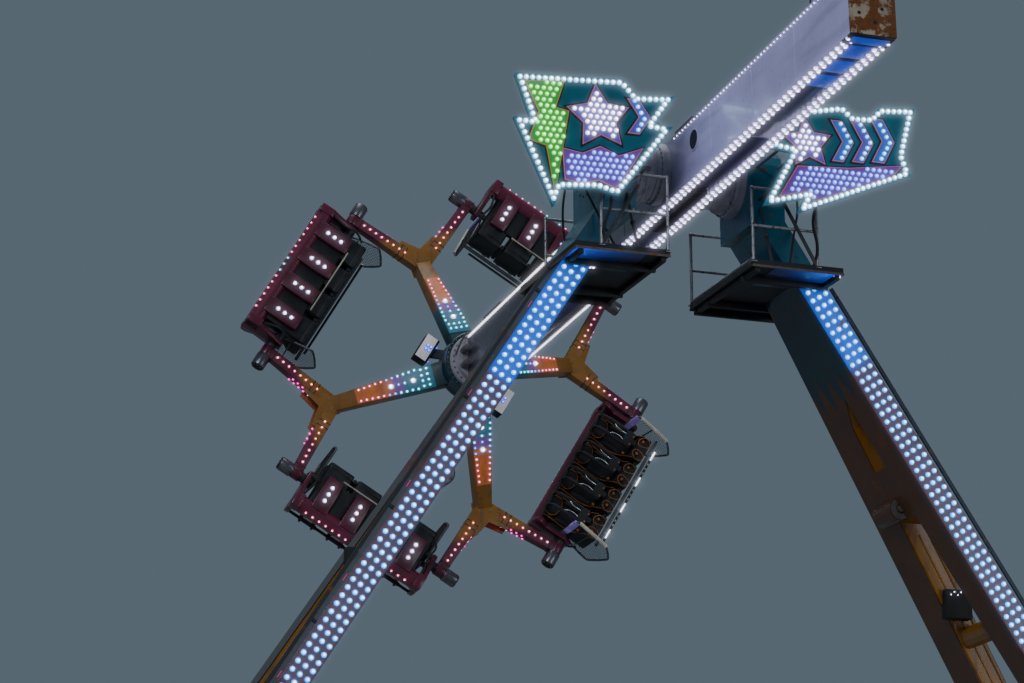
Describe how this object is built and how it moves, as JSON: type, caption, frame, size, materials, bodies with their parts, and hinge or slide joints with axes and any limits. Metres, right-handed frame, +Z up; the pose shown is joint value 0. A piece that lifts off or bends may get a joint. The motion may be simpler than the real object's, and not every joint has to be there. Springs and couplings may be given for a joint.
{
  "type": "chair swing ride",
  "caption": "Fairground ride: a long counterweighted arm swings between leaning lamp-lit legs and turns a spoked spider with tumbling rows of seats.",
  "frame": {"origin": "middle of the ground frame's underside, straight below the arm's pivot axis", "axes": "+X along the pivot axis, +Y from the counterweight side to the spider side as pictured, +Z up"},
  "size_m": [21.8, 16.476, 18.4134],
  "materials": {
    "teal_paint": "teal gloss paint",
    "ochre_paint": "ochre and brown paint",
    "lamp_board": "blue lamp board",
    "dark_steel": "dark painted steel",
    "black_paint": "black paint",
    "galvanised": "galvanised tube",
    "bearing_steel": "bare bearing steel",
    "lilac_gloss": "pale lilac gloss paint",
    "beige_paint": "beige paint with rust",
    "burgundy": "burgundy gloss paint",
    "seat_black": "black seat shell with orange piping",
    "guard_mesh": "steel tube and mesh"
  },
  "bodies": {
    "base": {"ground_frame": "dark_steel", "left_leg": "ochre_paint", "left_light_board": "lamp_board", "left_leg_rail": "dark_steel", "left_platform": "black_paint", "left_railing": "galvanised", "left_head": "teal_paint", "left_slew_ring": "bearing_steel", "left_sign": "teal_paint", "left_sign_bracket": "dark_steel", "right_leg": "ochre_paint", "right_light_board": "lamp_board", "right_leg_rail": "dark_steel", "right_platform": "black_paint", "right_railing": "galvanised", "right_head": "teal_paint", "right_slew_ring": "bearing_steel", "right_sign": "teal_paint", "right_sign_bracket": "dark_steel"},
    "arm": {"arm": "lilac_gloss", "counterweight": "lilac_gloss", "arm_end_plate": "beige_paint", "left_arm_boss": "bearing_steel", "right_arm_boss": "bearing_steel", "spider_drive": "bearing_steel"},
    "spider": {"spider_hub": "teal_paint", "spoke_1": "ochre_paint", "spoke_2": "ochre_paint", "spoke_3": "ochre_paint", "spoke_4": "ochre_paint"},
    "gondola_1": {"gondola_frame_1": "burgundy", "seat_row_1": "seat_black", "side_guards_1": "guard_mesh"},
    "harness_1": {"harness_1": "seat_black"},
    "gondola_2": {"gondola_frame_2": "burgundy", "seat_row_2": "seat_black", "side_guards_2": "guard_mesh"},
    "harness_2": {"harness_2": "seat_black"},
    "gondola_3": {"gondola_frame_3": "burgundy", "seat_row_3": "seat_black", "side_guards_3": "guard_mesh"},
    "harness_3": {"harness_3": "seat_black"},
    "gondola_4": {"gondola_frame_4": "burgundy", "seat_row_4": "seat_black", "side_guards_4": "guard_mesh"},
    "harness_4": {"harness_4": "seat_black"}
  },
  "joints": [
    {"name": "arm_pivot", "type": "hinge", "parent": "base", "child": "arm", "pos_m": [0, 0, 15.2], "axis": [1, 0, 0], "continuous": true},
    {"name": "spider_spin", "type": "hinge", "parent": "arm", "child": "spider", "pos_m": [0, 8.59366, 14.86987], "axis": [0, 0.9993, -0.0384], "continuous": true},
    {"name": "gondola_1_swing", "type": "hinge", "parent": "spider", "child": "gondola_1", "pos_m": [-2.41378, 9.66259, 16.28022], "axis": [0.515, 0.0329, 0.8565], "continuous": true},
    {"name": "harness_1_lift", "type": "hinge", "parent": "gondola_1", "child": "harness_1", "pos_m": [-2.85951, 9.83775, 16.54151], "axis": [0.515, 0.0329, 0.8565], "range_deg": [0, 75]},
    {"name": "gondola_2_swing", "type": "hinge", "parent": "spider", "child": "gondola_2", "pos_m": [-1.45035, 9.51425, 12.41894], "axis": [-0.8572, 0.0198, 0.5147], "continuous": true},
    {"name": "harness_2_lift", "type": "hinge", "parent": "gondola_2", "child": "harness_2", "pos_m": [-1.71817, 9.66202, 11.9672], "axis": [-0.8572, 0.0198, 0.5147], "range_deg": [0, 75]},
    {"name": "gondola_3_swing", "type": "hinge", "parent": "spider", "child": "gondola_3", "pos_m": [2.41378, 9.55124, 13.38166], "axis": [-0.515, -0.0329, -0.8565], "continuous": true},
    {"name": "harness_3_lift", "type": "hinge", "parent": "gondola_3", "child": "harness_3", "pos_m": [1.96806, 9.39664, 13.65562], "axis": [-0.515, -0.0329, -0.8565], "range_deg": [0, 75]},
    {"name": "gondola_4_swing", "type": "hinge", "parent": "spider", "child": "gondola_4", "pos_m": [1.45035, 9.69957, 17.24294], "axis": [0.8572, -0.0198, -0.5147], "continuous": true},
    {"name": "harness_4_lift", "type": "hinge", "parent": "gondola_4", "child": "harness_4", "pos_m": [1.71817, 9.88156, 17.68201], "axis": [0.8572, -0.0198, -0.5147], "range_deg": [0, 75]}
  ]
}
